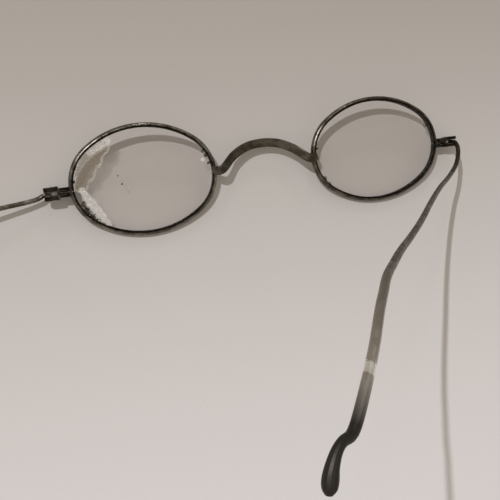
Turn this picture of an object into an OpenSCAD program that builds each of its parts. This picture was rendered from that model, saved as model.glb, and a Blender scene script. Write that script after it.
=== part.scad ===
// A pair of old oval spectacles in steel, lying face down with one side arm
// swung out flat and the other half folded and standing up.
//
// The skilful feature is the way the front is built and held together: each
// eyewire is one grooved wire bent into an oval, cut through at its outer end,
// and the two cut ends carry the two halves of the joint block. The arm's eye
// turns between those halves on a screw, and the nose bridge is a flat strip
// bent in an arch whose feet are lapped on the backs of the two eyewires.
//
// The front is drawn in its own frame: x to the wearer's right hand side of
// the picture, y up the face, z towards the wearer. The last module lays it on
// the table, where y runs up the picture and z stands off the table.

/* [Eyewires] */
// Half the width of the oval, to the middle of the wire
rim_half_w = 18.5; // [15:0.1:24]
// Half the height of the oval, to the middle of the wire
rim_half_h = 13.9; // [11:0.1:18]
// Distance from the middle of the nose to the middle of each lens
lens_spread = 32.4; // [28:0.1:36]
// Radius of the rounded outside of the wire
wire_round = 0.95; // [0.7:0.05:1.4]
// How far the round's centre sits inside the wire's middle line
wire_inset = 0.35; // [0.2:0.05:0.5]
// How far the flat inside face sits inside the wire's middle line
wire_inner = 0.6; // [0.5:0.05:0.9]
// Half the mouth of the groove that holds the lens
groove_half = 0.55; // [0.4:0.05:0.7]
// Depth of the groove
groove_depth = 0.45; // [0.3:0.05:0.6]
// Width of the cut where the wire's two ends meet
split_gap = 0.12; // [0.06:0.02:0.3]

/* [Lenses] */
// Thickness of the lens
lens_thick = 1.4; // [1.2:0.1:1.8]
// Play between the lens's edge and the groove
lens_play = 0.03; // [0.01:0.01:0.1]

/* [Bridge] */
// Width of the strip
strip_w = 2.35; // [1.6:0.05:3.2]
// Thickness of the strip
strip_t = 0.75; // [0.5:0.05:1.2]
// Height of the arch over the middle of the lenses
arch_rise = 5.6; // [3:0.1:9]
// How far the top of the arch stands in front of the eyewires
arch_forward = 1.2; // [0:0.1:5]
// How far the strip runs over the back of each eyewire
lap = 0.75; // [0.4:0.05:1.4]

/* [Joint blocks] */
// Length of the block beyond the middle of the wire
block_reach = 6.8; // [5:0.1:9]
// Height of the left block, both halves and the slot
left_block_h = 3.4; // [2.6:0.1:4.4]
// Height of the right block, both halves and the slot
right_block_h = 2.8; // [2.4:0.1:4.4]
// Height of the neck between the block and the eyewire
neck_h = 2.5; // [1.8:0.1:3.2]
// Depth of the block, from front to back
block_d = 2.4; // [1.8:0.1:3.4]
// Depth of the neck
neck_d = 1.8; // [1.4:0.1:2.4]
// Where the neck ends, beyond the middle of the wire
neck_reach = 3.1; // [2:0.1:4]
// Where the joint's axis is, beyond the middle of the wire
axis_reach = 4.2; // [3.4:0.1:5.5]
// How far the blocks sit below the middle of the lenses
block_drop = 0.6; // [0:0.05:1.2]

/* [Joint screws] */
// Radius of the screw's shaft
screw_r = 0.55; // [0.4:0.05:0.8]
// Radius of the screw's head
head_r = 0.85; // [0.7:0.05:1.1]
// Depth that the head is sunk into the upper half of the block
head_sunk = 0.35; // [0.2:0.05:0.5]
// Height of the head that stands proud
head_proud = 0.1; // [0.05:0.05:0.3]
// Play of the arm's eye on the shaft, on the radius
eye_play = 0.04; // [0.02:0.01:0.08]
// Play of the shaft in the two halves of the block, on the radius
block_play = 0.02; // [0.01:0.01:0.05]

/* [Side arms] */
// Radius of the round wire
arm_r = 0.6; // [0.45:0.05:0.9]
// Radius of the eye round the screw
eye_r = 1.2; // [0.9:0.05:1.6]
// Thickness of the eye and the tongue
eye_t = 0.9; // [0.6:0.05:1.2]
// Play between the eye and each side of its slot
slot_play = 0.05; // [0.02:0.01:0.15]
// Length of the arm from the joint to where it turns down behind the ear
arm_len = 112; // [90:1:130]
// Radius of the drop shaped end
drop_r = 0.78; // [0.6:0.02:1.2]
// How far the right arm hangs below its joint where it turns down
right_hang = 12.7; // [2:0.1:16]
// How far the left arm hangs below its joint where it turns down
left_hang = 7.2; // [2:0.1:16]
// How far the right arm bows outwards beside its joint
right_bow = 3.1; // [1.2:0.1:4]
// How far the left arm bows outwards beside its joint
left_bow = 1.4; // [1.2:0.1:4]

/* [Pose] */
// How far the right arm is folded in from straight back
right_fold = 36; // [-92:1:88]
// How far the left arm is folded in, less than nothing when swung out
left_fold = -80; // [-92:1:84]
// Lean of the front, top edge up off the table
lean = 10.5; // [0:0.5:20]

/* [Hidden] */
$fn = 64;

// The oval is four arcs. Their joints lie on the slope of a 3, 4, 5 triangle.
oval_k = rim_half_w - rim_half_h;
end_arc_x = 1.5 * oval_k;
side_arc_y = 2 * oval_k;
end_arc_r = rim_half_w - end_arc_x;
side_arc_r = end_arc_r + 2.5 * oval_k;
reach = 60;
axis_x = lens_spread + rim_half_w + axis_reach;
slot_h = eye_t + 2 * slot_play;
// Where the middle of the whole piece's box falls, so that it can be centred
centre_x = -68.379;
centre_y = -15.692;
// Height at which the lower edges of the eyewires touch the table
lift = (rim_half_h - wire_inset) * sin(lean) + wire_round;

steel = [0.33, 0.31, 0.30];
glass = [0.85, 0.9, 0.9, 0.35];

// Lays the front's frame on the table
module on_table() {
    translate([-centre_x, -centre_y, lift])
        rotate([lean, 0, 0])
            children();
}

// The same part on the right, or mirrored on the left
module on_side(side) {
    mirror([side < 0 ? 1 : 0, 0, 0])
        children();
}

// One sector of the oval: a wedge with its point at an arc's centre
module wedge(cx, cy, dx1, dy1, dx2, dy2) {
    translate([cx, cy, 0])
        linear_extrude(height = 8, center = true)
            polygon([[0, 0], [reach * dx1, reach * dy1], [reach * dx2, reach * dy2]]);
}

// Carries a section round the oval, the section's x measured from the middle line
module round_oval() {
    intersection() {
        translate([end_arc_x, 0, 0])
            rotate_extrude($fn = 128)
                translate([end_arc_r, 0])
                    children();
        wedge(end_arc_x, 0, 0.6, -0.8, 0.6, 0.8);
    }
    intersection() {
        translate([-end_arc_x, 0, 0])
            rotate_extrude($fn = 128)
                translate([end_arc_r, 0])
                    children();
        wedge(-end_arc_x, 0, -0.6, 0.8, -0.6, -0.8);
    }
    intersection() {
        translate([0, -side_arc_y, 0])
            rotate_extrude($fn = 128)
                translate([side_arc_r, 0])
                    children();
        wedge(0, -side_arc_y, 0.6, 0.8, -0.6, 0.8);
    }
    intersection() {
        translate([0, side_arc_y, 0])
            rotate_extrude($fn = 128)
                translate([side_arc_r, 0])
                    children();
        wedge(0, side_arc_y, -0.6, -0.8, 0.6, -0.8);
    }
}

// The wire's outside, before the groove
module wire_outline() {
    difference() {
        translate([-wire_inset, 0])
            circle(r = wire_round);
        translate([-wire_inner - 2, -2])
            square([2, 4]);
    }
}

// The groove, as wide at the mouth as groove_half each way
module groove_outline() {
    polygon([[-wire_inner - 0.2, -groove_half * (1 + 0.2 / groove_depth)],
             [-wire_inner + groove_depth, 0],
             [-wire_inner - 0.2, groove_half * (1 + 0.2 / groove_depth)]]);
}

// The solid wire that other parts are fitted against
module wire_body() {
    translate([lens_spread, 0, 0])
        round_oval()
            wire_outline();
}

module eyewire(side) {
    color(steel)
        on_table()
            on_side(side)
                difference() {
                    translate([lens_spread, 0, 0])
                        round_oval()
                            difference() {
                                wire_outline();
                                groove_outline();
                            }
                    translate([lens_spread + rim_half_w, -block_drop, 0])
                        cube([4, split_gap, 4], center = true);
                }
}

// A round blank with a bevelled edge that fits the groove
module blank(cx, cy, r) {
    edge = r - wire_inner + groove_depth - lens_play;
    half = lens_thick / 2;
    bevel = edge - half * groove_depth / groove_half;
    translate([cx, cy, 0])
        rotate_extrude($fn = 128)
            polygon([[0, -half], [bevel, -half], [edge, 0], [bevel, half], [0, half]]);
}

// The middle of the oval is where the two large blanks overlap, and a small
// blank fills each end
module lens(side) {
    color(glass)
        on_table()
            on_side(side)
                translate([lens_spread, 0, 0])
                    union() {
                        difference() {
                            intersection() {
                                blank(0, -side_arc_y, side_arc_r);
                                blank(0, side_arc_y, side_arc_r);
                            }
                            wedge(end_arc_x, 0, 0.6, -0.8, 0.6, 0.8);
                            wedge(-end_arc_x, 0, -0.6, 0.8, -0.6, -0.8);
                        }
                        intersection() {
                            blank(end_arc_x, 0, end_arc_r);
                            wedge(end_arc_x, 0, 0.6, -0.8, 0.6, 0.8);
                        }
                        intersection() {
                            blank(-end_arc_x, 0, end_arc_r);
                            wedge(-end_arc_x, 0, -0.6, 0.8, -0.6, -0.8);
                        }
                    }
}

// A smooth curve through a list of points of any length
function curve_at(p, q, r, s, t) =
    0.5 * (2 * q + (r - p) * t + (2 * p - 5 * q + 4 * r - s) * t * t + (3 * q - p - 3 * r + s) * t * t * t);
function curve(pts, steps) = [
    for (i = [0 : len(pts) - 2], j = [0 : steps - 1])
        curve_at(pts[max(i - 1, 0)], pts[i], pts[i + 1], pts[min(i + 2, len(pts) - 1)], j / steps),
    pts[len(pts) - 1]
];
function unit(v) = v / norm(v);
function first3(v) = [v[0], v[1], v[2]];

// Sweeps a ring of section points along a path. Each path row is a point, then
// the scale of the section there. The section's second direction stays upright.
module sweep(path, section) {
    n = len(path);
    m = len(section);
    rings = [
        for (i = [0 : n - 1])
            let (a = first3(path[max(i - 1, 0)]),
                 b = first3(path[min(i + 1, n - 1)]),
                 along = unit(b - a),
                 high = unit([0, 1, 0] - along * along[1]),
                 across = cross(high, along))
                for (s = section)
                    first3(path[i]) + (across * s[0] + high * s[1]) * path[i][3]
    ];
    sides = [
        for (i = [0 : n - 2], j = [0 : m - 1], half = [0, 1])
            let (k = (j + 1) % m)
                half == 0 ? [i * m + j, i * m + k, (i + 1) * m + k]
                          : [i * m + j, (i + 1) * m + k, (i + 1) * m + j]
    ];
    start = [for (j = [m - 1 : -1 : 0]) j];
    finish = [for (j = [0 : m - 1]) (n - 1) * m + j];
    polyhedron(points = rings, faces = concat(sides, [start], [finish]), convexity = 8);
}

// The strip's section, its corners eased
strip_ease = 0.22;
strip_section = [
    [strip_t / 2 - strip_ease, -strip_w / 2],
    [strip_t / 2 - 0.3 * strip_ease, -strip_w / 2 + 0.3 * strip_ease],
    [strip_t / 2, -strip_w / 2 + strip_ease],
    [strip_t / 2, strip_w / 2 - strip_ease],
    [strip_t / 2 - 0.3 * strip_ease, strip_w / 2 - 0.3 * strip_ease],
    [strip_t / 2 - strip_ease, strip_w / 2],
    [strip_ease - strip_t / 2, strip_w / 2],
    [0.3 * strip_ease - strip_t / 2, strip_w / 2 - 0.3 * strip_ease],
    [-strip_t / 2, strip_w / 2 - strip_ease],
    [-strip_t / 2, strip_ease - strip_w / 2],
    [0.3 * strip_ease - strip_t / 2, 0.3 * strip_ease - strip_w / 2],
    [strip_ease - strip_t / 2, -strip_w / 2]
];

// The strip's middle line on the right: distance from the nose's middle as a
// share of the gap, height as a share of the rise, and depth.
nose_x = lens_spread - rim_half_w;
lap_z = wire_round - 0.1 + strip_t / 2;
half_bridge = [
    [0.145 * nose_x, 0.98 * arch_rise, 0.1 - arch_forward, 1],
    [0.29 * nose_x, 0.915 * arch_rise, 0.35 - arch_forward, 1],
    [0.43 * nose_x, 0.79 * arch_rise, 0.75 - arch_forward, 1],
    [0.575 * nose_x, 0.595 * arch_rise, 1.4 - arch_forward, 1],
    [0.65 * nose_x, 0.465 * arch_rise, 0.55, 1],
    [0.72 * nose_x, 0.31 * arch_rise, 1.15, 1],
    [0.79 * nose_x, 0.15 * arch_rise, 1.75, 1],
    [0.86 * nose_x, 0.025 * arch_rise, 2.2, 1],
    [0.925 * nose_x, -0.03 * arch_rise, 2.15, 1],
    [0.98 * nose_x, -0.01 * arch_rise, 1.7, 0.97],
    [nose_x + lap, 0.04 * arch_rise, lap_z, 0.85]
];
bridge_line = concat(
    [for (i = [len(half_bridge) - 1 : -1 : 0])
        [-half_bridge[i][0], half_bridge[i][1], half_bridge[i][2], half_bridge[i][3]]],
    [[0, arch_rise, -arch_forward, 1]],
    half_bridge
);

module bridge() {
    color(steel)
        on_table()
            difference() {
                sweep(curve(bridge_line, 3), strip_section);
                on_side(1)
                    wire_body();
                on_side(-1)
                    wire_body();
            }
}

// Room for the eye and the tongue over the whole swing of the arm
module swing_room() {
    side_room = 0.75;
    rotate([90, 0, 0])
        cylinder(r = eye_r + 0.15, h = slot_h, center = true);
    translate([5, 0, 0])
        cube([10, slot_h, 10], center = true);
    rotate([0, -60, 0])
        translate([-side_room, -slot_h / 2, 0])
            cube([8, slot_h, 10]);
    rotate([0, 135, 0])
        translate([side_room - 8, -slot_h / 2, 0])
            cube([8, slot_h, 10]);
}

// One half of a joint block. up is 1 for the upper half and -1 for the lower.
module half_block(side, up) {
    h = (side < 0 ? left_block_h : right_block_h) / 2;
    neck = min(neck_h / 2, h);
    round_r = block_d / 2;
    color(steel)
        on_table()
            on_side(side)
                difference() {
                    translate([axis_x, -block_drop, 0])
                        mirror([0, up < 0 ? 1 : 0, 0])
                            difference() {
                                union() {
                                    translate([0.25 - axis_reach, split_gap / 2, -neck_d / 2])
                                        cube([neck_reach + 0.5, neck - split_gap / 2, neck_d]);
                                    translate([neck_reach - axis_reach, split_gap / 2, -block_d / 2])
                                        cube([block_reach - neck_reach - round_r, h - split_gap / 2, block_d]);
                                    translate([block_reach - axis_reach - round_r, split_gap / 2, 0])
                                        rotate([-90, 0, 0])
                                            cylinder(r = round_r, h = h - split_gap / 2);
                                }
                                swing_room();
                                rotate([90, 0, 0])
                                    cylinder(r = screw_r + block_play, h = 12, center = true);
                                if (up > 0)
                                    translate([0, h - head_sunk, 0])
                                        rotate([-90, 0, 0])
                                            cylinder(r = head_r + block_play, h = 2);
                            }
                    wire_body();
                }
}

// The screw: sunk slotted head above, shaft down to the block's underside
module joint_screw(side) {
    h = (side < 0 ? left_block_h : right_block_h) / 2;
    color(steel)
        on_table()
            on_side(side)
                translate([axis_x, -block_drop, 0])
                    rotate([-90, 0, 0])
                        difference() {
                            union() {
                                translate([0, 0, -h - 0.08])
                                    cylinder(r = screw_r, h = 2 * h + 0.08 - head_sunk / 2);
                                translate([0, 0, h - head_sunk])
                                    cylinder(r = head_r, h = head_sunk + head_proud);
                            }
                            translate([0, 0, h + head_proud])
                                cube([3, 0.28, 0.44], center = true);
                        }
}

// The arm's middle line in its own frame: outwards, up, along, then the scale
// of its section. It starts in the eye, turns down behind the ear at arm_len,
// and ends in a drop.
thin = 0.7;
drop = drop_r / arm_r;
function ear_part(hang) = [
    [0.3, 0.1 - hang, arm_len - 16, 1],
    [0.7, 0.15 - hang, arm_len - 7, 1],
    [1.0, -hang, arm_len, 1],
    [1.4, -0.7 - hang, arm_len + 5, 1],
    [1.6, -1.8 - hang, arm_len + 9, 1],
    [1.9, -4.1 - hang, arm_len + 15, 1],
    [1.8, -6.9 - hang, arm_len + 21.3, 1],
    [1.5, -8.4 - hang, arm_len + 24.4, 0.97],
    [1.0, -8.4 - hang, arm_len + 26.2, 0.87],
    [0.7, -8.8 - hang, arm_len + 27.3, 0.92],
    [0.45, -9.7 - hang, arm_len + 28.1, 0.85 * drop],
    [0.3, -10.6 - hang, arm_len + 28.5, drop],
    [0.2, -11.4 - hang, arm_len + 28.8, 0.9 * drop],
    [0.15, -11.9 - hang, arm_len + 28.95, 0.45 * drop]
];
right_line = concat([
    [0.63, 0, 0.75, thin],
    [1.6, 0, 1.9, thin],
    [0.71 * right_bow, -0.3, 2.5, 0.95],
    [0.87 * right_bow, -1.1, 3.2, 1],
    [0.97 * right_bow, -2.0, 4.2, 1],
    [right_bow, -3.8, 6.5, 1],
    [0.84 * right_bow, -0.5 * right_hang, 11, 1],
    [0.42 * right_bow, -0.68 * right_hang, 19.6, 1],
    [0.4, -0.77 * right_hang, 35, 1],
    [0, -0.88 * right_hang, 52, 1],
    [0, -0.97 * right_hang, 68, 1],
    [0, -1.01 * right_hang, 83, 1]
], ear_part(right_hang));
left_line = concat([
    [0.44, 0, 0.88, thin],
    [1.1, 0, 2.2, thin],
    [0.93 * left_bow, -0.3, 2.9, 0.95],
    [left_bow, -0.75, 3.8, 1],
    [left_bow, -1.1, 5.4, 1],
    [0.93 * left_bow, -1.4, 8, 1],
    [0.8 * left_bow, -1.8, 13, 1],
    [0.6 * left_bow, -2.4, 20, 1],
    [0.3, -0.55 * left_hang, 35, 1],
    [0, -0.76 * left_hang, 52, 1],
    [0, -0.92 * left_hang, 68, 1],
    [0, -1.0 * left_hang, 83, 1]
], ear_part(left_hang));
arm_sides = 14;
arm_section = [
    for (i = [0 : arm_sides - 1])
        [arm_r * cos(360 * i / arm_sides), -arm_r * sin(360 * i / arm_sides)]
];

module arm(side) {
    line = side < 0 ? left_line : right_line;
    fold = side < 0 ? left_fold : right_fold;
    tongue_turn = atan2(line[1][0], line[1][2]);
    color(steel)
        on_table()
            on_side(side)
                translate([axis_x, -block_drop, 0])
                    rotate([0, -fold, 0])
                        difference() {
                            union() {
                                rotate([90, 0, 0])
                                    cylinder(r = eye_r, h = eye_t, center = true);
                                rotate([0, tongue_turn, 0])
                                    translate([-0.55, -eye_t / 2, 0])
                                        cube([1.1, eye_t, 2.3]);
                                sweep(curve(line, 4), arm_section);
                            }
                            rotate([90, 0, 0])
                                cylinder(r = screw_r + eye_play, h = 4, center = true);
                        }
}

eyewire(-1);  // left_eyewire
eyewire(1);  // right_eyewire
lens(-1);  // left_lens
lens(1);  // right_lens
bridge();
half_block(-1, 1);  // left_upper_block
half_block(-1, -1);  // left_lower_block
half_block(1, 1);  // right_upper_block
half_block(1, -1);  // right_lower_block
joint_screw(-1);  // left_screw
joint_screw(1);  // right_screw
arm(-1);  // left_arm
arm(1);  // right_arm
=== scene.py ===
# %% [markdown]
# # Old oval spectacles on a pale table
#
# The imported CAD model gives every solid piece: two grooved eyewires, two
# lenses, the strip bridge, the joint blocks, their screws and the two side
# arms. This lesson dresses them in aged steel and old glass, and sets the
# table, the lamps and the camera as the photograph shows them.
#
# Everything is in metres. X runs to the right of the photo, Y up the photo
# and Z off the table.

import math

import bmesh
import bpy
from mathutils import Matrix, Vector


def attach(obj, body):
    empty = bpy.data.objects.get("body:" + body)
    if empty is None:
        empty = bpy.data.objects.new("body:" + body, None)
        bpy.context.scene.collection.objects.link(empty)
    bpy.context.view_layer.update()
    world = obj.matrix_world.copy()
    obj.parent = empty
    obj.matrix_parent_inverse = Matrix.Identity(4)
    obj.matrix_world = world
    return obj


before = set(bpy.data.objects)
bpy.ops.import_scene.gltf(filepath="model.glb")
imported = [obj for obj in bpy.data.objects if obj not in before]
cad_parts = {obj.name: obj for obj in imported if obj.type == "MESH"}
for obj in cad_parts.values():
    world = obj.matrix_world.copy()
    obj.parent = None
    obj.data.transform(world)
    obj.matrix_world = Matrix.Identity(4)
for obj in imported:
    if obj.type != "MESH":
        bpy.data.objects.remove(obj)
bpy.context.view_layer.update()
print("nodes", sorted(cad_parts))

# %% [markdown]
# ## Lengths and colours
#
# Lengths are written in millimetres. A pattern is given by the size of one
# of its grains, and `grain` turns that into a noise texture's scale. Colours
# are the hex codes that a picture editor shows, and `srgb` turns them into
# the linear values that the renderer works in.

# %% Length and colour helpers
MM = 0.001


def grain(mm):
    """The scale of a texture whose features are this many millimetres apart."""
    return 1 / (mm * MM)


def srgb(code):
    """The linear colour of a hex code such as 'c8c2ba'."""
    out = []
    for i in (0, 2, 4):
        v = int(code[i:i + 2], 16) / 255
        out.append(v / 12.92 if v <= 0.04045 else ((v + 0.055) / 1.055) ** 2.4)
    return (*out, 1.0)


print("a mid grey in linear light:", [round(v, 3) for v in srgb("808080")])

# %% [markdown]
# ## Where the front stands
#
# The front leans back by 10.5 degrees with its lower edges on the table. Wear
# and dirt follow the front, so they are placed in the front's own frame: x
# across, y up the face and z towards the wearer, from the middle of the nose.
# `on_front` turns such a point into the table's frame. `HINGE` holds the two
# hinge points, already in the table's frame, in millimetres.

# %% The front's own frame
LEAN = math.radians(10.5)
NOSE = Vector((68.379, 15.692, 3.419))
TURN = Matrix.Rotation(LEAN, 3, "X")
EYE_X = {"left": -32.4, "right": 32.4}
LENS_HALF_WIDTH = 18.5
LENS_HALF_HEIGHT = 13.9
HINGE = {
    "left": Vector((13.279, 15.102, 3.31)),
    "right": Vector((123.479, 15.102, 3.31)),
}


def on_front(x, y, z):
    """A point of the front's frame, in mm, as a point of the scene, in metres."""
    return (TURN @ Vector((x, y, z)) + NOSE) * MM


for side, x in EYE_X.items():
    print(side, "lens centre", on_front(x, 0, 0)[:])

# %% [markdown]
# ## One function adds every shader node
#
# A material is a small graph. `add` makes a node, sets its options, then for
# each input either joins a socket or sets a value, and hands back the output
# that the next node reads. `start` gives an empty material and the point of
# the piece that is being shaded. `lens_frame` turns that point into the frame
# of one lens.

# %% Adding shader nodes
def add(tree, kind, inputs=None, out=0, **options):
    node = tree.nodes.new("ShaderNode" + kind)
    for key, value in options.items():
        setattr(node, key, value)
    for key, value in (inputs or {}).items():
        if isinstance(value, bpy.types.NodeSocket):
            tree.links.new(value, node.inputs[key])
        else:
            node.inputs[key].default_value = value
    return node.outputs[out] if len(node.outputs) else node


def start(name):
    mat = bpy.data.materials.new(name)
    mat.use_nodes = True
    mat.node_tree.nodes.clear()
    return mat, mat.node_tree, add(mat.node_tree, "TexCoord", out="Object")


def lens_frame(tree, where, side):
    """The shaded point in metres from that lens's centre, in the front's frame."""
    move = -(TURN.transposed() @ on_front(EYE_X[side], 0, 0))
    return add(
        tree,
        "Mapping",
        {"Vector": where, "Location": move, "Rotation": (-LEAN, 0, 0)},
    )


print("node helpers ready")

# %% [markdown]
# ## Aged steel
#
# The wire is drawn steel that has browned with age. Broad patches of brown
# oxide lie on grey metal, small pits are nearly black, and a fine grain breaks
# up the highlight. Real pits are about 0.1 mm wide, which is too fine to show
# here, so they are drawn 0.3 mm apart and a few hundredths of one deep.

# %% The steel itself
def steel_colour(tree, where, grey, worn, brown):
    """Grey metal, lighter where rubbed and brown where oxidised, with dark pits."""
    broad = add(tree, "TexNoise", {"Vector": where, "Scale": grain(2.8), "Detail": 3.0})
    rubbed = add(
        tree,
        "MapRange",
        {"Value": broad, "From Min": 0.42, "From Max": 0.62},
        "Result",
    )
    colour = add(
        tree,
        "Mix",
        {0: rubbed, 6: srgb(grey), 7: srgb(worn)},
        2,
        data_type="RGBA",
    )
    oxide = add(
        tree,
        "TexNoise",
        {"Vector": where, "Scale": grain(1.2), "Detail": 5.0, "Roughness": 0.7},
    )
    stain = add(
        tree,
        "MapRange",
        {"Value": oxide, "From Min": 0.5, "From Max": 0.7, "To Max": 0.7},
        "Result",
    )
    colour = add(
        tree,
        "Mix",
        {0: stain, 6: colour, 7: srgb(brown)},
        2,
        data_type="RGBA",
    )
    fine = add(tree, "TexNoise", {"Vector": where, "Scale": grain(0.3), "Detail": 2.0})
    pits = add(
        tree,
        "MapRange",
        {"Value": fine, "From Min": 0.62, "From Max": 0.74},
        "Result",
    )
    colour = add(
        tree,
        "Mix",
        {0: pits, 6: colour, 7: srgb("1b1612")},
        2,
        data_type="RGBA",
    )
    return colour, fine, oxide


def steel_surface(mat, tree, colour, fine, oxide, smooth, rough):
    """Metal that shines most where the oxide is thin."""
    sheen = add(
        tree,
        "MapRange",
        {
            "Value": oxide,
            "From Min": 0.35,
            "From Max": 0.65,
            "To Min": smooth,
            "To Max": rough,
        },
        "Result",
    )
    relief = add(tree, "Bump", {"Height": fine, "Distance": 0.03 * MM, "Strength": 0.5})
    skin = add(
        tree,
        "BsdfPrincipled",
        {"Base Color": colour, "Metallic": 1.0, "Roughness": sheen, "Normal": relief},
    )
    add(tree, "OutputMaterial", {"Surface": skin})
    return mat


print("steel helpers ready")

# %% [markdown]
# ## Blocks, screws and bridge: worn edges with a painted highlight
#
# These pieces have corners, and a corner is where steel is rubbed bare first.
# The Bevel node gives the direction that a rounded edge would face. Where it
# differs from the real face, there is an edge, and the metal is paler there:
# partly wear and partly a painted highlight along the edge.

# %% Steel with worn edges and a painted edge highlight
def edged_steel(name, grey, worn, brown, wear_and_highlight, smooth, rough):
    mat, tree, where = start(name)
    colour, fine, oxide = steel_colour(tree, where, grey, worn, brown)
    rounded = add(tree, "Bevel", {"Radius": 0.13 * MM}, samples=8)
    face = add(tree, "NewGeometry", out="Normal")
    alike = add(
        tree,
        "VectorMath",
        {0: rounded, 1: face},
        "Value",
        operation="DOT_PRODUCT",
    )
    edge = add(
        tree,
        "MapRange",
        {"Value": alike, "From Min": 0.95, "From Max": 0.8, "To Max": 0.85},
        "Result",
    )
    # Wear and painted highlight: edges are mixed towards the pale colour.
    colour = add(tree, "Mix", {0: edge, 6: colour, 7: srgb(wear_and_highlight)}, 2, data_type="RGBA")
    return steel_surface(mat, tree, colour, fine, oxide, smooth, rough)


BRIDGE_STEEL = edged_steel(
    "browned strip steel",
    grey="3f3b33", worn="5c564b", brown="352c22", wear_and_highlight="9a9488",
    smooth=0.28, rough=0.44,
)
BLOCK_STEEL = edged_steel(
    "blackened steel blocks",
    grey="1b1816", worn="39342f", brown="241b15", wear_and_highlight="c2bcb2",
    smooth=0.15, rough=0.30,
)
# Painted glint: the screws are drawn pale so that they shine in the middle of each
# block.
SCREW_STEEL = edged_steel(
    "pale screw steel, painted glint",
    grey="8d8780", worn="bab5ad", brown="5e5448", wear_and_highlight="ece8e1",
    smooth=0.16, rough=0.30,
)
print("made", BRIDGE_STEEL.name, "/", BLOCK_STEEL.name, "/", SCREW_STEEL.name)

# %% [markdown]
# ## The eyewires: plain steel outside, painted shade against the glass
#
# The outside of the wire keeps its plain steel colour, and the corner between
# the wire and the glass is drawn near black as painted shade, which gives a
# light line round a black one. The shader measures how far out a point is as a
# share of the lens's half width and half height: 1 is the lens's rim. The
# painted shade fades out between the two shares in `WIRE_SHADE_FADE`.

# %% Eyewire steel with painted shade by the lens
WIRE_SHADE_FADE = (1.004, 0.982)


def eyewire_steel(name, side, grey, worn):
    mat, tree, where = start(name)
    colour, fine, oxide = steel_colour(tree, where, grey, worn, "40372c")
    local = lens_frame(tree, where, side)
    unit = (1 / (LENS_HALF_WIDTH * MM), 1 / (LENS_HALF_HEIGHT * MM), 0)
    share = add(tree, "VectorMath", {0: local, 1: unit}, operation="MULTIPLY")
    out = add(tree, "VectorMath", {0: share}, "Value", operation="LENGTH")
    uneven = add(
        tree,
        "MapRange",
        {
            "Value": oxide,
            "From Min": 0.3,
            "From Max": 0.7,
            "To Min": -0.012,
            "To Max": 0.012,
        },
        "Result",
    )
    out = add(tree, "Math", {0: out, 1: uneven}, operation="ADD")
    # Painted shade: the wire is drawn near black next to the glass.
    painted_shade = add(
        tree,
        "MapRange",
        {"Value": out, "From Min": WIRE_SHADE_FADE[0], "From Max": WIRE_SHADE_FADE[1]},
        "Result",
    )
    colour = add(
        tree,
        "Mix",
        {0: painted_shade, 6: colour, 7: srgb("1a150f")},
        2,
        data_type="RGBA",
    )
    return steel_surface(mat, tree, colour, fine, oxide, 0.20, 0.36)


LEFT_WIRE = eyewire_steel("drawn steel, left eyewire", "left", "615b53", "8f897f")
RIGHT_WIRE = eyewire_steel("drawn steel, right eyewire", "right", "4f4a43", "777167")
print("made", LEFT_WIRE.name, "/", RIGHT_WIRE.name)

# %% [markdown]
# ## The arms: a painted glint at the eye, a pale bend behind the ear
#
# The arms are the same steel with a satin finish, brown and dark along the
# temples. Each eye turns between the two halves of its block and is drawn near
# white there: a painted glint in the middle of the block. The bend that lay on
# the ear is pale, partly from wear and partly as a painted reflection, and the
# drop at the end is nearly black. A narrow near-white ring between them is
# partly bare metal and partly a painted highlight. All four are marked by the
# distance from the hinge, in millimetres below. A pair is where a finish starts
# and where it is full.

# %% Side arm steel
EYE_GLINT_FADE = (1.25, 0.8)
BEND_FADE = (106, 130)
RING, RING_HALF = 130.8, 0.7
DROP_FADE = (132, 137.5)


def arm_steel(name, side, grey, worn):
    mat, tree, where = start(name)
    colour, fine, oxide = steel_colour(tree, where, grey, worn, "2c241c")
    away = add(
        tree,
        "VectorMath",
        {0: where, 1: HINGE[side] * MM},
        "Value",
        operation="DISTANCE",
    )
    # Painted glint: the eye by the hinge is drawn near white.
    eye = add(
        tree,
        "MapRange",
        {"Value": away, "From Min": EYE_GLINT_FADE[0] * MM, "From Max": EYE_GLINT_FADE[1] * MM},
        "Result",
    )
    colour = add(
        tree,
        "Mix",
        {0: eye, 6: colour, 7: srgb("efeae2")},
        2,
        data_type="RGBA",
    )
    # Wear and painted reflection: the bend is mixed towards a pale colour.
    bend_wear_and_reflection = add(
        tree,
        "MapRange",
        {
            "Value": away,
            "From Min": BEND_FADE[0] * MM,
            "From Max": BEND_FADE[1] * MM,
            "To Max": 0.72,
        },
        "Result",
    )
    colour = add(
        tree,
        "Mix",
        {0: bend_wear_and_reflection, 6: colour, 7: srgb("d6d0c6")},
        2,
        data_type="RGBA",
    )
    drop = add(
        tree,
        "MapRange",
        {
            "Value": away,
            "From Min": DROP_FADE[0] * MM,
            "From Max": DROP_FADE[1] * MM,
            "To Max": 0.92,
        },
        "Result",
    )
    colour = add(
        tree,
        "Mix",
        {0: drop, 6: colour, 7: srgb("1e1915")},
        2,
        data_type="RGBA",
    )
    # Wear and painted highlight: a narrow near-white ring round the arm.
    uneven = add(
        tree,
        "MapRange",
        {
            "Value": oxide,
            "From Min": 0.3,
            "From Max": 0.7,
            "To Min": -0.5 * MM,
            "To Max": 0.5 * MM,
        },
        "Result",
    )
    ragged = add(tree, "Math", {0: away, 1: uneven}, operation="ADD")
    wear_and_highlight = add(
        tree,
        "Math",
        {0: ragged, 1: RING * MM, 2: RING_HALF * MM},
        operation="COMPARE",
    )
    colour = add(
        tree,
        "Mix",
        {0: wear_and_highlight, 6: colour, 7: srgb("faf7f2")},
        2,
        data_type="RGBA",
    )
    satin = add(tree, "Math", {0: eye, 1: drop}, operation="ADD")
    dull = add(tree, "Math", {0: oxide, 1: satin}, operation="ADD")
    return steel_surface(mat, tree, colour, fine, dull, 0.22, 0.50)


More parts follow.
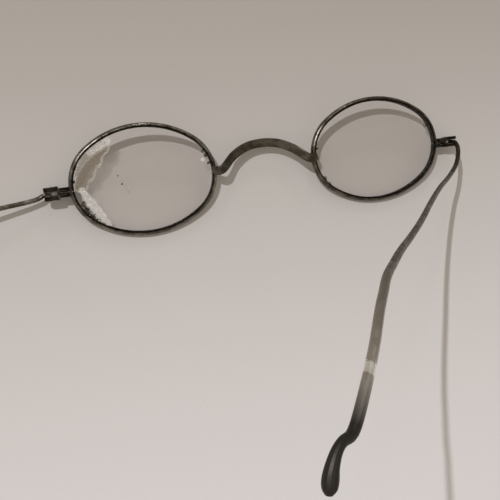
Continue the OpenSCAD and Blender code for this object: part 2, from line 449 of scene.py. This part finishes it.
LEFT_ARM = arm_steel("satin steel, left arm", "left", "4b443c", "746c62")
RIGHT_ARM = arm_steel("satin steel, right arm", "right", "322b23", "4c433a")
print("made", LEFT_ARM.name, "/", RIGHT_ARM.name)

# %% [markdown]
# ## Glass
#
# The lenses are clear and nearly flat, so what lies behind them isn't bent.
# A see-through shader and a mirror, shared out by the Fresnel law, show that
# cleanly and let the light through to the table, as real thin glass does. The
# mirror is blurred, so that the small lamp doesn't show in it as a white flash.
#
# The left lens has old residue near its outer edge: a pale crust below, a
# smaller one above, and between them a brownish film. The pale ragged line
# round the film is a painted line of light. Dark crumbs lie between the crust
# and the wire. Each patch is a chain of soft balls, and noise tears its edge.

# %% Soft patches on a lens
def patch(tree, local, balls):
    """One inside any of the balls, zero outside. A ball is x, y and radius, in mm."""
    total = None
    for x, y, r in balls:
        away = add(
            tree,
            "VectorMath",
            {0: local, 1: (x * MM, y * MM, 0)},
            "Value",
            operation="DISTANCE",
        )
        near = add(
            tree,
            "MapRange",
            {"Value": away, "From Min": r * MM, "From Max": 0.45 * r * MM},
            "Result",
        )
        if total is None:
            total = near
        else:
            total = add(
                tree,
                "Math",
                {0: total, 1: near},
                operation="ADD",
                use_clamp=True,
            )
    return total


def torn(tree, where, field, size, low, high, most):
    """Tears the edge of a patch with grains of this size."""
    noise = add(
        tree,
        "TexNoise",
        {"Vector": where, "Scale": grain(size), "Detail": 6.0, "Roughness": 0.75},
    )
    rough = add(
        tree,
        "MapRange",
        {"Value": noise, "From Min": 0.35, "From Max": 0.65},
        "Result",
    )
    both = add(tree, "Math", {0: field, 1: rough}, operation="MULTIPLY")
    return add(
        tree,
        "MapRange",
        {"Value": both, "From Min": low, "From Max": high, "To Max": most},
        "Result",
    )


print("patch helpers ready")

# %% [markdown]
# The layers go on as they do on the real lens: clear glass first, then a thin
# film, then crust, then crumbs. Each is a matt shader laid over the last.

# %% Lens glass
def lens_glass(name, side, film, crust, crumbs):
    mat, tree, where = start(name)
    local = lens_frame(tree, where, side)
    flat = add(tree, "VectorMath", {0: local, 1: (1, 1, 0)}, operation="MULTIPLY")
    share = add(tree, "Fresnel", {"IOR": 1.5})
    behind = add(tree, "NewGeometry", out="Backfacing")
    front_only = add(tree, "Math", {0: 1.0, 1: behind}, operation="SUBTRACT")
    share = add(tree, "Math", {0: share, 1: front_only}, operation="MULTIPLY")
    clear = add(tree, "BsdfTransparent", {"Color": srgb("f9f8f7")})
    mirror = add(tree, "BsdfAnisotropic", {"Color": srgb("ffffff"), "Roughness": 0.45})
    skin = add(tree, "MixShader", {0: share, 1: clear, 2: mirror})
    if film:
        field = patch(tree, flat, film)
        haze = torn(tree, where, field, size=1.5, low=0.05, high=0.3, most=0.34)
        brown = add(tree, "BsdfDiffuse", {"Color": srgb("8b7d68")})
        skin = add(tree, "MixShader", {0: haze, 1: skin, 2: brown})
        # Painted light: a pale ragged line round the film.
        ring = add(
            tree,
            "MapRange",
            {"Value": field, "From Min": 0.0, "From Max": 0.3},
            "Result",
        )
        gone = add(
            tree,
            "MapRange",
            {"Value": field, "From Min": 0.9, "From Max": 0.5},
            "Result",
        )
        painted_light_rim = add(tree, "Math", {0: ring, 1: gone}, operation="MULTIPLY")
        edge = torn(tree, where, painted_light_rim, size=0.45, low=0.35, high=0.8, most=0.5)
        pale = add(tree, "BsdfDiffuse", {"Color": srgb("d8d2c8")})
        skin = add(tree, "MixShader", {0: edge, 1: skin, 2: pale})
    if crust:
        field = patch(tree, flat, crust)
        lumps = torn(tree, where, field, size=0.26, low=0.22, high=0.9, most=0.8)
        white = add(tree, "BsdfDiffuse", {"Color": srgb("e8e3dc")})
        skin = add(tree, "MixShader", {0: lumps, 1: skin, 2: white})
    if crumbs:
        field = patch(tree, flat, crumbs)
        specks = torn(tree, where, field, size=0.7, low=0.2, high=0.5, most=0.85)
        black = add(tree, "BsdfDiffuse", {"Color": srgb("2a241f")})
        skin = add(tree, "MixShader", {0: specks, 1: skin, 2: black})
    add(tree, "OutputMaterial", {"Surface": skin})
    return mat


LEFT_GLASS = lens_glass(
    "old glass, left lens",
    "left",
    film=[
        (-12.6, 7.0, 3.6), (-14.6, 3.6, 3.1), (-16.0, 0.6, 2.2), (-9.8, 9.4, 2.6),
    ],
    crust=[
        (-15.2, -2.2, 1.5), (-14.4, -3.9, 1.9), (-13.6, -5.6, 2.1), (-12.8, -7.2, 2.1),
        (-11.9, -8.7, 1.9), (-10.9, -10.0, 1.5), (-12.6, 8.6, 1.6), (-11.2, 9.6, 2.0),
        (-9.6, 10.4, 2.0), (-8.0, 10.9, 1.6), (-15.9, -0.7, 1.3), (15.7, 3.2, 0.8),
    ],
    crumbs=[
        (-16.1, -4.2, 1.0), (-15.4, -5.9, 1.3), (-14.4, -7.6, 1.3), (-13.3, -9.0, 1.2),
        (-12.2, -10.1, 1.0), (-16.9, 5.2, 0.7), (-15.4, 7.6, 0.8), (-13.7, 9.3, 0.9),
        (-12.0, 10.6, 0.8), (-17.6, 1.6, 0.6), (16.1, 5.4, 0.6), (16.6, 4.2, 0.7),
        (17.2, 2.2, 0.6), (-5.9, -0.4, 0.35), (-6.6, 1.8, 0.25),
    ],
)
RIGHT_GLASS = lens_glass(
    "old glass, right lens",
    "right",
    film=[],
    crust=[],
    crumbs=[
        (-15.9, -6.2, 0.9), (-14.8, -7.8, 0.8), (16.2, 4.9, 0.7), (-17.2, 2.2, 0.6),
    ],
)
print("made", LEFT_GLASS.name, "/", RIGHT_GLASS.name)

# %% [markdown]
# ## Giving each CAD piece its material
#
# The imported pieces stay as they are. Only their material slots change.

# %% Assign the materials
LOOKS = {
    "left_eyewire": LEFT_WIRE,
    "right_eyewire": RIGHT_WIRE,
    "left_lens": LEFT_GLASS,
    "right_lens": RIGHT_GLASS,
    "bridge": BRIDGE_STEEL,
    "left_upper_block": BLOCK_STEEL,
    "left_lower_block": BLOCK_STEEL,
    "right_upper_block": BLOCK_STEEL,
    "right_lower_block": BLOCK_STEEL,
    "left_screw": SCREW_STEEL,
    "right_screw": SCREW_STEEL,
    "left_arm": LEFT_ARM,
    "right_arm": RIGHT_ARM,
}
for name, look in LOOKS.items():
    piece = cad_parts[name]
    piece.data.materials.clear()
    piece.data.materials.append(look)
print("dressed", len(LOOKS), "pieces")

# %% [markdown]
# ## Painted shade in the block's seam
#
# The screw pulls the two halves of each block together on the cut ends of the
# eyewire, so no light comes through the seam between them. A thin slab fills
# the seam from the wire's cut ends to the slot, and its dark matt colour is
# painted shade. Its size and its middle are in millimetres in the front's frame.

# %% The painted shade in the seams
SEAM_SIZE = Vector((2.3, 0.11, 1.4))
SEAM_MIDDLE = Vector((52.0, -0.6, 0))

# Painted shade: the slab's colour is dark and matt.
mat, tree, where = start("packed dirt")
lumps = add(tree, "TexNoise", {"Vector": where, "Scale": grain(0.4), "Detail": 4.0})
tone = add(
    tree,
    "Mix",
    {0: lumps, 6: srgb("15110e"), 7: srgb("3a3026")},
    2,
    data_type="RGBA",
)
matt = add(tree, "BsdfPrincipled", {"Base Color": tone, "Roughness": 0.9})
add(tree, "OutputMaterial", {"Surface": matt})
SEAM_SHADE = mat

for side, sign in (("left", -1), ("right", 1)):
    shape = bmesh.new()
    bmesh.ops.create_cube(shape, size=1)
    bmesh.ops.scale(shape, vec=SEAM_SIZE * MM, verts=shape.verts)
    bmesh.ops.rotate(shape, cent=(0, 0, 0), matrix=TURN, verts=shape.verts)
    middle = on_front(sign * SEAM_MIDDLE.x, SEAM_MIDDLE.y, SEAM_MIDDLE.z)
    bmesh.ops.translate(shape, vec=middle, verts=shape.verts)
    mesh = bpy.data.meshes.new(side + "_seam_dirt")
    shape.to_mesh(mesh)
    shape.free()
    mesh.materials.append(SEAM_SHADE)
    seam = bpy.data.objects.new(side + "_seam_dirt", mesh)
    bpy.context.scene.collection.objects.link(seam)
    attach(seam, "front")
    print(seam.name, "filled")

# %% [markdown]
# ## The table
#
# A wide sheet of plain paper lies under the spectacles. Less light reaches the
# table towards its top, and the paper's colour is painted darker that way as
# painted shade, over 110 mm on each side of the middle. Its tooth is about half
# a millimetre. The sheet lies 0.05 mm under the spectacles and reaches 6 m each
# way.

# %% The table and its paper
TABLE_SHADE_FADE = 110
TABLE_MIDDLE = 70
TABLE_DROP = 0.05
TABLE_HALF = 6

mat, tree, where = start("pale matt paper")
place = add(tree, "SeparateXYZ", {"Vector": where}, "Y")
table_shade_ramp = add(
    # Painted shade: the paper's colour darkens towards the top.
    tree,
    "MapRange",
    {"Value": place, "From Min": TABLE_SHADE_FADE * MM, "From Max": -TABLE_SHADE_FADE * MM},
    "Result",
    interpolation_type="SMOOTHSTEP",
)
tone = add(
    tree,
    "Mix",
    {0: table_shade_ramp, 6: srgb("9a9287"), 7: srgb("d8d3d1")},
    2,
    data_type="RGBA",
)
tooth = add(tree, "TexNoise", {"Vector": where, "Scale": grain(0.5), "Detail": 4.0})
speck = add(
    tree,
    "MapRange",
    {"Value": tooth, "From Min": 0.35, "From Max": 0.7, "To Max": 0.05},
    "Result",
)
tone = add(tree, "Mix", {0: speck, 6: tone, 7: srgb("80786f")}, 2, data_type="RGBA")
relief = add(tree, "Bump", {"Height": tooth, "Distance": 0.01 * MM, "Strength": 0.3})
sheet = add(
    tree,
    "BsdfPrincipled",
    {"Base Color": tone, "Roughness": 0.85, "Normal": relief},
)
add(tree, "OutputMaterial", {"Surface": sheet})

shape = bmesh.new()
bmesh.ops.create_grid(shape, x_segments=1, y_segments=1, size=TABLE_HALF)
table_place = (TABLE_MIDDLE * MM, 0, -TABLE_DROP * MM)
bmesh.ops.translate(shape, vec=table_place, verts=shape.verts)
table_mesh = bpy.data.meshes.new("table")
shape.to_mesh(table_mesh)
shape.free()
table_mesh.materials.append(mat)
table = bpy.data.objects.new("table", table_mesh)
bpy.context.scene.collection.objects.link(table)
print("table laid")

# %% [markdown]
# ## The light
#
# The shadows fall to the lower right, half as far as the wire is high, and
# spread with height, so the main lamp is a small one, 0.45 m off, up to the
# left and behind. A lamp so near would light the table unevenly, so its light
# is set not to fall off. It gives nearly half of the light, and the room the
# rest. The room is brighter overhead than at its walls, which puts a light
# line along the top of every wire and leaves its sides dark. A weak second
# lamp stands low and far behind.

# %% Lamps
MAIN_DISTANCE = 0.45


def lamp(name, kind, strength, place, colour):
    data = bpy.data.lights.new(name, kind)
    data.energy = strength
    data.color = srgb(colour)[:3]
    thing = bpy.data.objects.new(name, data)
    bpy.context.scene.collection.objects.link(thing)
    thing.location = Vector(place) * MM
    thing.rotation_euler = (Vector(place) - NOSE).to_track_quat("Z", "Y").to_euler()
    return data


main = lamp("main lamp", "POINT", 4.7, (-112, 174, 396), "f3f6ff")
main.shadow_soft_size = 3 * MM
main.use_nodes = True
main.node_tree.nodes.clear()
even = add(
    main.node_tree,
    "LightFalloff",
    {"Strength": 1 / MAIN_DISTANCE ** 2},
    "Constant",
)
beam = add(main.node_tree, "Emission", {"Strength": even})
add(main.node_tree, "OutputLight", {"Surface": beam})
second = lamp("second lamp", "SUN", 0.25, (318, 1616, 803), "f4f6ff")
second.angle = math.radians(8)
print("two lamps")

# %% The room's light
room = bpy.data.worlds.new("room")
bpy.context.scene.world = room
room.use_nodes = True
tree = room.node_tree
tree.nodes.clear()
way = add(tree, "TexCoord", out="Generated")
height = add(tree, "SeparateXYZ", {"Vector": way}, "Z")
level = add(
    tree,
    "MapRange",
    {"Value": height, "From Min": 0.0, "From Max": 0.9, "To Min": 0.4, "To Max": 0.6},
    "Result",
)
glow = add(tree, "Background", {"Color": srgb("fff8ec"), "Strength": level})
add(tree, "OutputWorld", {"Surface": glow})
print("room light set")

# %% [markdown]
# ## The camera
#
# The photograph was taken from above and a little to the left, close enough
# for the arm that stands up to look twice as thick at its end. The position
# and the directions were worked out from the ovals of the two eyewires.

# %% The camera
lens = bpy.data.cameras.new("camera")
lens.sensor_width = 36
lens.lens = 43.2
lens.clip_start = 0.005
camera = bpy.data.objects.new("camera", lens)
bpy.context.scene.collection.objects.link(camera)
PICTURE_RIGHT = Vector((0.96533, -0.163099, 0.203804))
PICTURE_UP = Vector((0.156404, 0.986494, 0.048646))
CAMERA_AT = Vector((26.986, -9.154, 160.152))
across = PICTURE_RIGHT.normalized()
back = across.cross(PICTURE_UP).normalized()
up = back.cross(across)
stand = Matrix((across, up, back)).transposed().to_4x4()
stand.translation = CAMERA_AT * MM
camera.matrix_world = stand
bpy.context.scene.camera = camera
bpy.context.scene.view_settings.view_transform = "Standard"
print("camera at", camera.location[:])
